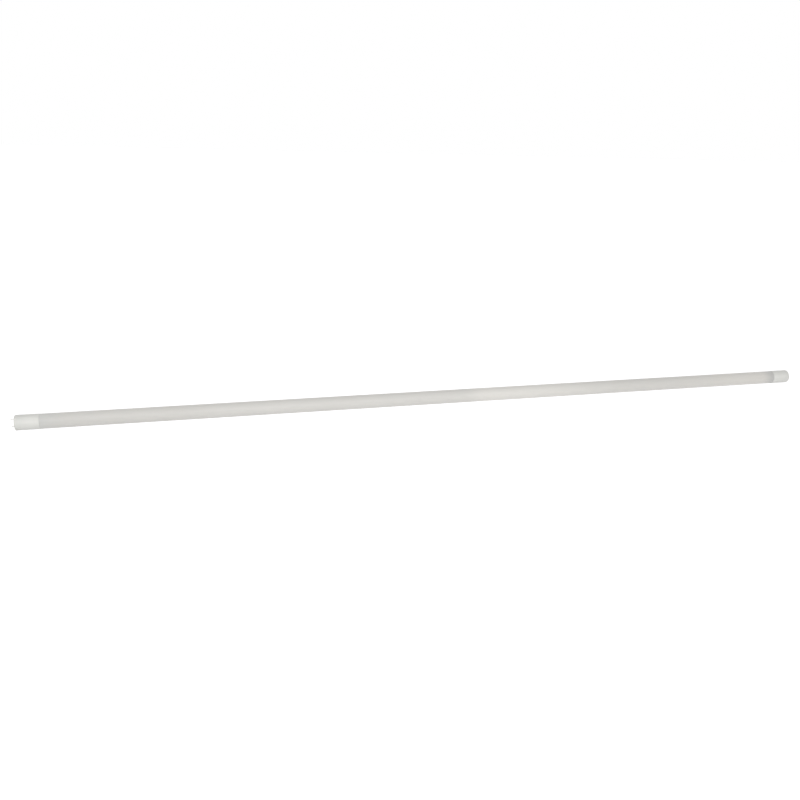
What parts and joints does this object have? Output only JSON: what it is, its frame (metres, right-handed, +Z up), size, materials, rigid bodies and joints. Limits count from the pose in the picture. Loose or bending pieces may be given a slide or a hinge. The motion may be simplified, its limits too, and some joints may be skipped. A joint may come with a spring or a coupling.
{
  "type": "led tube",
  "caption": "Straight frosted glass LED tube lamp with flush moulded caps and bi-pin contacts at both ends.",
  "frame": {"origin": "middle of the lamp, on the axis of the tube", "axes": "+X along the tube from the supply end to the far end, +Z up through the upper pins, -Y the way the light leaves"},
  "size_m": [1.5142, 0.026, 0.026],
  "materials": {
    "frosted_glass": "satin",
    "cap_plastic": "satin",
    "pin_metal": "satin",
    "clear_adhesive": "gloss",
    "board_silicone": "satin",
    "strip_board": "satin",
    "diode_plastic": "satin",
    "solder": "gloss",
    "sleeve_film": "gloss",
    "driver_laminate": "satin",
    "resistor_body": "satin",
    "varistor_resin": "gloss",
    "ferrite": "matte",
    "copper_wire": "gloss",
    "film_resin": "satin",
    "bobbin_plastic": "matte",
    "winding_tape": "satin",
    "can_film": "satin",
    "package_resin": "matte",
    "red_insulation": "satin",
    "black_insulation": "satin",
    "white_insulation": "satin"
  },
  "bodies": {
    "root": {"frosted_tube": "frosted_glass", "left_cap": "cap_plastic", "right_cap": "cap_plastic", "left_upper_pin": "pin_metal", "left_lower_pin": "pin_metal", "right_upper_pin": "pin_metal", "right_lower_pin": "pin_metal", "left_cap_glue": "clear_adhesive", "right_cap_glue": "clear_adhesive", "board_glue": "board_silicone", "left_led_board": "strip_board", "right_led_board": "strip_board", "left_led_chips": "diode_plastic", "right_led_chips": "diode_plastic", "board_links": "solder", "driver_sleeve": "sleeve_film", "driver_board": "driver_laminate", "fuse_resistor": "resistor_body", "varistor": "varistor_resin", "choke_core": "ferrite", "choke_winding": "copper_wire", "film_capacitor": "film_resin", "inductor_core": "ferrite", "inductor_bobbin": "bobbin_plastic", "inductor_winding": "winding_tape", "electrolytic_capacitor": "can_film", "bridge_rectifier": "package_resin", "driver_chip": "package_resin", "output_diode": "package_resin", "live_wire": "red_insulation", "neutral_wire": "black_insulation", "led_positive_wire": "red_insulation", "led_negative_wire": "black_insulation", "pin_bridge_wire": "white_insulation"}
  },
  "joints": []
}
